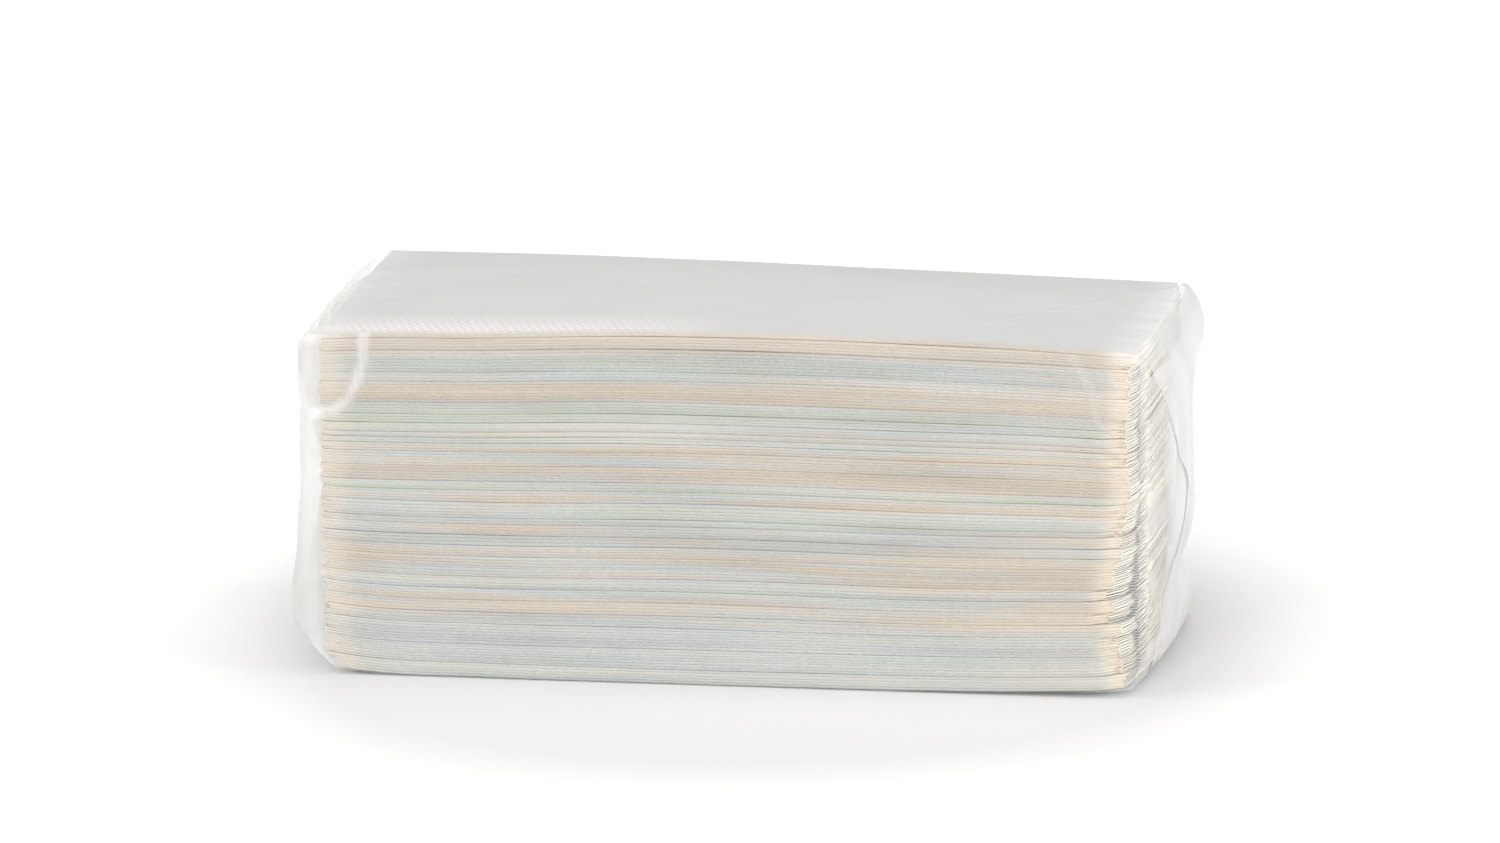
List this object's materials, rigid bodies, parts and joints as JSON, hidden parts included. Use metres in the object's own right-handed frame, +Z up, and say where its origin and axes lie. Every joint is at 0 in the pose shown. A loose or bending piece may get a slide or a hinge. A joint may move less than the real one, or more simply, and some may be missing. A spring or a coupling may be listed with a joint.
{
  "type": "pack of folded paper hand towels",
  "caption": "Neat stack of C-fold paper hand towels in a clear film wrap with envelope-folded ends.",
  "frame": {"origin": "on the floor, under the middle of the pack", "axes": "+X along the towels' folds, towards the end of the pack that the picture shows; +Z up; -Y towards the long side of front folds"},
  "size_m": [0.2487, 0.1022, 0.098],
  "materials": {
    "clear_film": "thin clear polyethylene film, softly wrinkled, glossy",
    "towel_paper": "uncoated off-white tissue, lightly embossed, cream at the cut ends"
  },
  "bodies": {
    "root": {"film_wrap": "clear_film", "towel_pair_01": "towel_paper", "towel_pair_02": "towel_paper", "towel_pair_03": "towel_paper", "towel_pair_04": "towel_paper", "towel_pair_05": "towel_paper", "towel_pair_06": "towel_paper", "towel_pair_07": "towel_paper", "towel_pair_08": "towel_paper", "towel_pair_09": "towel_paper", "towel_pair_10": "towel_paper", "towel_pair_11": "towel_paper", "towel_pair_12": "towel_paper", "towel_pair_13": "towel_paper", "towel_pair_14": "towel_paper", "towel_pair_15": "towel_paper", "towel_pair_16": "towel_paper", "towel_pair_17": "towel_paper", "towel_pair_18": "towel_paper", "towel_pair_19": "towel_paper", "towel_pair_20": "towel_paper", "towel_pair_21": "towel_paper", "towel_pair_22": "towel_paper", "towel_pair_23": "towel_paper", "towel_pair_24": "towel_paper", "towel_pair_25": "towel_paper", "towel_pair_26": "towel_paper", "towel_pair_27": "towel_paper", "towel_pair_28": "towel_paper", "towel_pair_29": "towel_paper", "towel_pair_30": "towel_paper", "towel_pair_31": "towel_paper", "towel_pair_32": "towel_paper", "towel_pair_33": "towel_paper", "towel_pair_34": "towel_paper", "towel_pair_35": "towel_paper", "towel_pair_36": "towel_paper", "towel_pair_37": "towel_paper", "towel_pair_38": "towel_paper", "towel_pair_39": "towel_paper", "towel_pair_40": "towel_paper", "towel_pair_41": "towel_paper", "towel_pair_42": "towel_paper", "towel_pair_43": "towel_paper", "towel_pair_44": "towel_paper", "towel_pair_45": "towel_paper", "towel_pair_46": "towel_paper", "towel_pair_47": "towel_paper", "towel_pair_48": "towel_paper", "towel_pair_49": "towel_paper", "towel_pair_50": "towel_paper", "towel_pair_51": "towel_paper", "towel_pair_52": "towel_paper", "towel_pair_53": "towel_paper", "towel_pair_54": "towel_paper", "towel_pair_55": "towel_paper", "towel_pair_56": "towel_paper", "towel_pair_57": "towel_paper", "towel_pair_58": "towel_paper"}
  },
  "joints": []
}
